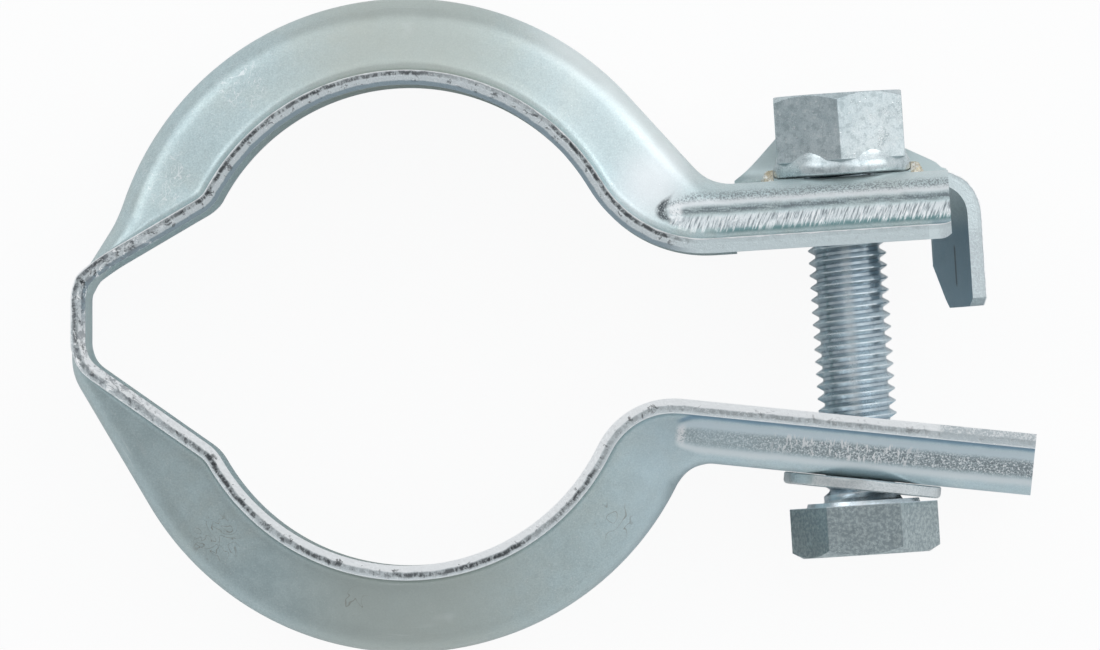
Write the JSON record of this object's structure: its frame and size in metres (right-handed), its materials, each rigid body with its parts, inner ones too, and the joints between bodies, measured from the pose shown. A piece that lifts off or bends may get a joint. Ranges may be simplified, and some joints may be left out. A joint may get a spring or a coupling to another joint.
{
  "type": "tube clamp",
  "caption": "Pressed steel tube clamp with two curved channel arms joined by a flat spring neck, drawn together by a hex bolt, washer and weld nut.",
  "frame": {"origin": "on the axis of the upper arm's seat, at mid width of the strap", "axes": "+Z along the tube, +X from the tube towards the ears, +Y from the middle of the tube towards the upper arm"},
  "size_m": [0.0976, 0.0662, 0.022],
  "materials": {
    "strap_zinc": "zinc plate with a pale blue passivation, bright sheared edges and light scratches",
    "nut_zinc": "zinc plate, slightly rough",
    "weld_scorch": "rough weld metal with a straw tint",
    "bolt_zinc": "zinc plate with a steel-blue sheen",
    "washer_zinc": "bright zinc plate"
  },
  "bodies": {
    "root": {"strap": "strap_zinc", "weld_nut": "nut_zinc", "weld_beads": "weld_scorch", "bolt": "bolt_zinc", "washer": "washer_zinc"}
  },
  "joints": []
}
